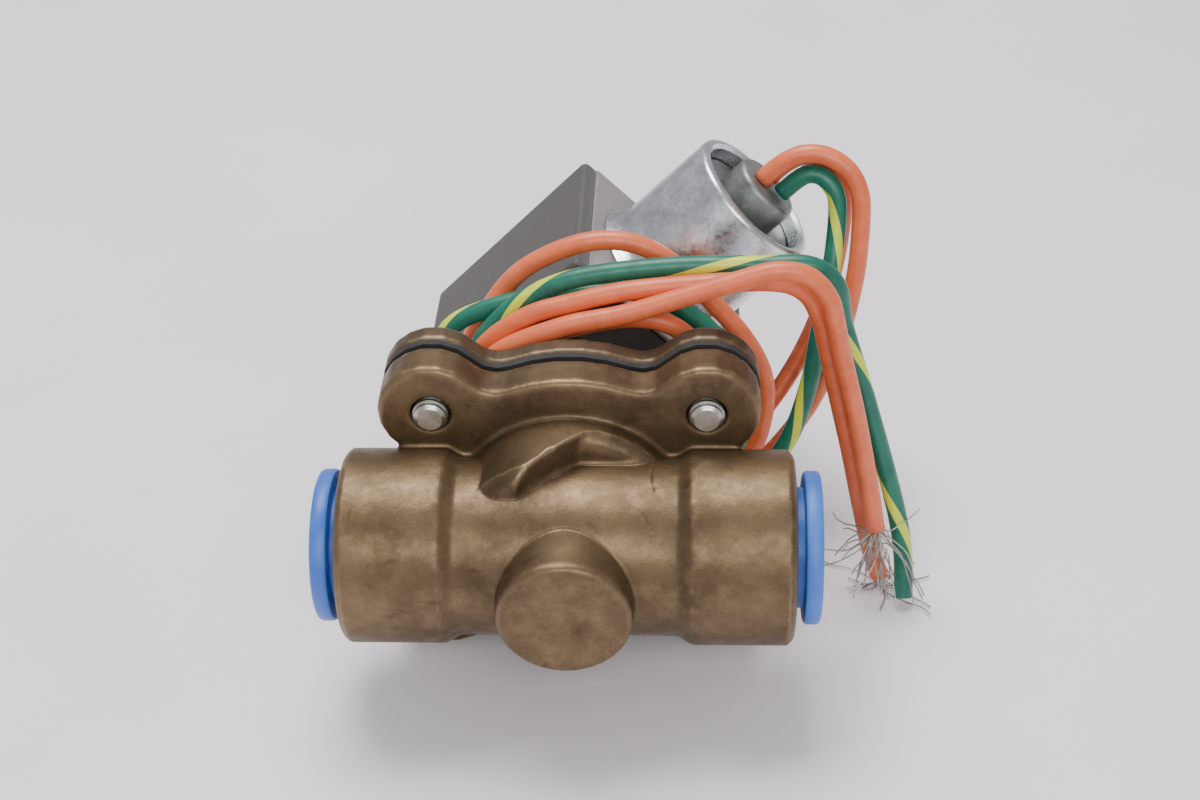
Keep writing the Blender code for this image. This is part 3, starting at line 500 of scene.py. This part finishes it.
def true_up(mesh, axis, radius, low, high):
    """Moves the points of a faceted round surface onto the true cylinder, over one stretch of its axis."""
    points = np.empty(len(mesh.vertices) * 3)
    mesh.vertices.foreach_get("co", points)
    points = points.reshape(-1, 3)
    local = (points - np.array(VALVE)) / MM
    others = [i for i in range(3) if i != axis]
    distance = np.hypot(local[:, others[0]], local[:, others[1]])
    share = np.clip((TRUE_UP_REACH - np.abs(distance - radius)) / TRUE_UP_FADE, 0.0, 1.0)
    inside = np.minimum(local[:, axis] - low, high - local[:, axis])
    share *= np.clip(inside / TRUE_UP_END_FADE, 0.0, 1.0)
    scale = 1.0 + share * (radius / np.maximum(distance, 1.0) - 1.0)
    for i in others:
        local[:, i] *= scale
    mesh.vertices.foreach_set("co", (local * MM + np.array(VALVE)).reshape(-1))
    mesh.update()


# Axis, radius and stretch of each round surface of the body, in valve coordinates and millimetres.
ROUND_FACES = [
    (0, 15.55, -35.0, -19.8),
    (0, 15.55, 19.8, 35.0),
    (0, 14.15, -17.0, 17.0),
    (1, 10.65, -17.4, 0.0),
    (1, 19.35, -4.0, 7.6),
]


def soft_casting(node, name, material, voxel_mm, rounds, round_faces=()):
    """A remeshed and relaxed copy of a CAD solid, which gives it the soft inner corners of a casting."""
    helper = bpy.data.objects.new(name + "_source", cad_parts[node].data.copy())
    bpy.context.scene.collection.objects.link(helper)
    remesh = helper.modifiers.new("remesh", "REMESH")
    remesh.mode = "VOXEL"
    remesh.voxel_size = voxel_mm * MM
    relax = helper.modifiers.new("relax", "SMOOTH")
    relax.factor = 0.5
    relax.iterations = rounds
    graph = bpy.context.evaluated_depsgraph_get()
    mesh = bpy.data.meshes.new_from_object(helper.evaluated_get(graph))
    bpy.data.objects.remove(helper)
    mesh.name = name
    for face in round_faces:
        true_up(mesh, *face)
    new_piece(name, mesh, material, "valve", (node,))


soft_casting("valve_body", "body_casting", BRONZE, 0.4, 7, ROUND_FACES)
soft_casting("bonnet", "bonnet_casting", BONNET_BRONZE, 0.35, 4)

# ---------------------------------------------------------------- turned pieces


def lathe(shape, profile, centre, along, across, steps):
    """Adds a closed turned solid to a bmesh, from (distance along the axis, radius) in millimetres."""
    side = along.cross(across)
    rings = []
    for distance, radius in profile:
        middle = centre + along * distance * MM
        turns = [math.tau * i / steps for i in range(steps)]
        rings.append([
            shape.verts.new(middle + (across * math.cos(turn) + side * math.sin(turn)) * radius * MM)
            for turn in turns
        ])
    for one, two in zip(rings, rings[1:]):
        for i in range(steps):
            j = (i + 1) % steps
            shape.faces.new((one[i], one[j], two[j], two[i]))
    shape.faces.new(list(reversed(rings[0])))
    shape.faces.new(rings[-1])


def finish_mesh(name, shape, sharp_degrees=35):
    """Turns a bmesh into a mesh with its normals outwards and its sharp edges marked."""
    bmesh.ops.recalc_face_normals(shape, faces=shape.faces)
    for edge in shape.edges:
        edge.smooth = edge.calc_face_angle(math.pi) < math.radians(sharp_degrees)
    mesh = bpy.data.meshes.new(name)
    shape.to_mesh(mesh)
    shape.free()
    return mesh


CAP_PROFILE = [
    (27.5, 8.2), (27.8, 8.6), (28.7, 9.5), (29.0, 9.6), (37.0, 9.6), (37.05, 11.5), (37.2, 11.95),
    (37.6, 12.2), (39.2, 12.2), (39.6, 11.95), (39.8, 11.5), (39.8, 8.6), (39.6, 8.3), (38.2, 8.0),
]


def make_cap(name, node, outwards):
    shape = bmesh.new()
    lathe(shape, CAP_PROFILE, VALVE, outwards, Vector((0, 0, 1)), 96)
    new_piece(name, finish_mesh(name, shape), BLUE, node, (node,))


HEAD_TALL = 4.15
HEAD_CORNER = 5.45
HEAD_CORNER_AT_TOP = 4.7
THREAD_PITCH = 1.27
THREAD_ROOT = 2.6
THREAD_CREST = 2.88
PLAIN_SHANK_R = 2.85
PLAIN_SHANK_LENGTH = 3.0
BOLT_SHARP_DEGREES = 30


def make_bolt(number):
    """A flange bolt: a chamfered shank with ring grooves for its thread, and a tapered hexagon head."""
    low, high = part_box(f"bonnet_bolt_{number}")
    centre = (low + high) / 2
    centre.y = low.y
    shank = high.y - low.y - HEAD_TALL * MM
    length = shank / MM
    profile = [(0.02, 2.0), (0.45, THREAD_ROOT)]
    turn = 0.95
    while turn < length - PLAIN_SHANK_LENGTH:
        profile += [
            (turn, THREAD_ROOT),
            (turn + 0.35, THREAD_CREST),
            (turn + 0.6, THREAD_CREST),
            (turn + 0.95, THREAD_ROOT),
        ]
        turn += THREAD_PITCH
    profile += [(turn + 0.3, PLAIN_SHANK_R), (length + 0.2, PLAIN_SHANK_R)]
    shape = bmesh.new()
    up = Vector((0, 0, 1))
    along = Vector((0, 1, 0))
    lathe(shape, profile, centre, along, up, 40)
    head_base = centre + along * shank
    head = [(0.02, HEAD_CORNER), (3.5, HEAD_CORNER), (HEAD_TALL, HEAD_CORNER_AT_TOP)]
    lathe(shape, head, head_base, along, up, 6)
    name = f"flange_bolt_{number}"
    mesh = finish_mesh(name, shape, BOLT_SHARP_DEGREES)
    new_piece(name, mesh, PLATED, "valve", (f"bonnet_bolt_{number}",))


make_cap("inlet_thread_cap", "inlet_cap", Vector((-1, 0, 0)))
make_cap("outlet_thread_cap", "outlet_cap", Vector((1, 0, 0)))
for bolt_number in (1, 2, 3, 4):
    make_bolt(bolt_number)

# ---------------------------------------------------------------- round metal pieces with smooth sides


def smoothed_copy(name, node, material):
    """The same shape as a CAD node, with its facets shaded as the round sides that they stand for."""
    shape = bmesh.new()
    shape.from_mesh(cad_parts[node].data)
    bmesh.ops.remove_doubles(shape, verts=shape.verts, dist=0.001 * MM)
    new_piece(name, finish_mesh(name, shape), material, "valve", (node,))


smoothed_copy("conduit_shell", "conduit_hub", ZINC)
smoothed_copy("exit_bushing", "lead_bushing", BUSHING)
smoothed_copy("coil_nut", "retaining_nut", PLATED)
smoothed_copy("coil_washer", "spring_washer", PLATED)
smoothed_copy("core_stud", "fixed_core", STAINLESS)
smoothed_copy("gasket_sheet", "diaphragm", RUBBER)

# ---------------------------------------------------------------- looks of the CAD nodes that stay

NODE_LOOKS = {
    "core_tube": STAINLESS,
    "shading_ring": COPPER,
    "plunger": STAINLESS,
    "plunger_seal": RUBBER,
    "plunger_spring": STAINLESS,
    "main_poppet": BRONZE,
    "poppet_seal": RUBBER,
    "poppet_spring": STAINLESS,
    "tube_o_ring": RUBBER,
    "coil_housing": EPOXY,
    "coil_bobbin": BOBBIN,
    "coil_winding": ENAMEL,
    "hub_plate": PLATE,
    "nameplate": LABEL,
}
for node_name, look in NODE_LOOKS.items():
    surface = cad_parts[node_name].data
    surface.materials.clear()
    surface.materials.append(look)

# ---------------------------------------------------------------- floor and light


def make_floor():
    mesh = bpy.data.meshes.new("floor")
    shape = bmesh.new()
    bmesh.ops.create_grid(shape, x_segments=2, y_segments=2, size=1.6)
    shape.to_mesh(mesh)
    shape.free()
    floor = bpy.data.objects.new("floor", mesh)
    floor.location = (0, 0, -0.0002)
    bpy.context.scene.collection.objects.link(floor)
    paint = Paint("pale table").set(Roughness=0.55)
    broad = paint.noise(60.0, 3.0, 0.5)
    fleck = paint.noise(1.6, 3.0, 0.6)
    base = paint.mix(paint.remap(broad, 0.35, 0.65), (0.9, 0.86, 0.905), (0.95, 0.91, 0.955))
    paint.colour(paint.mix(paint.remap(fleck, 0.62, 0.75, 0.0, 0.5), base, (0.97, 0.96, 0.975)))
    paint.bump(paint.noise(0.9, 4.0, 0.6), 0.03, 0.4)
    mesh.materials.append(paint.material)


def make_light(name, where, target, size, power, colour):
    data = bpy.data.lights.new(name, "AREA")
    data.shape = "RECTANGLE"
    data.size = size[0]
    data.size_y = size[1]
    data.energy = power
    data.color = colour
    light = bpy.data.objects.new(name, data)
    light.location = where
    light.rotation_euler = (Vector(target) - Vector(where)).to_track_quat("-Z", "Y").to_euler()
    bpy.context.scene.collection.objects.link(light)


def make_world():
    world = bpy.data.worlds.new("studio")
    world.use_nodes = True
    background = world.node_tree.nodes["Background"]
    background.inputs["Color"].default_value = (0.96, 0.94, 1.0, 1.0)
    background.inputs["Strength"].default_value = 0.5
    bpy.context.scene.world = world


make_floor()
make_world()
LIT_POINT = (0, 0, 0.02)
make_light("key", (-0.1, 0.2, 0.8), LIT_POINT, (0.5, 0.4), 7.5, (1.0, 0.985, 0.97))
make_light("front", (0.1, -0.8, 0.6), LIT_POINT, (0.8, 0.4), 5.5, (1.0, 0.99, 0.98))
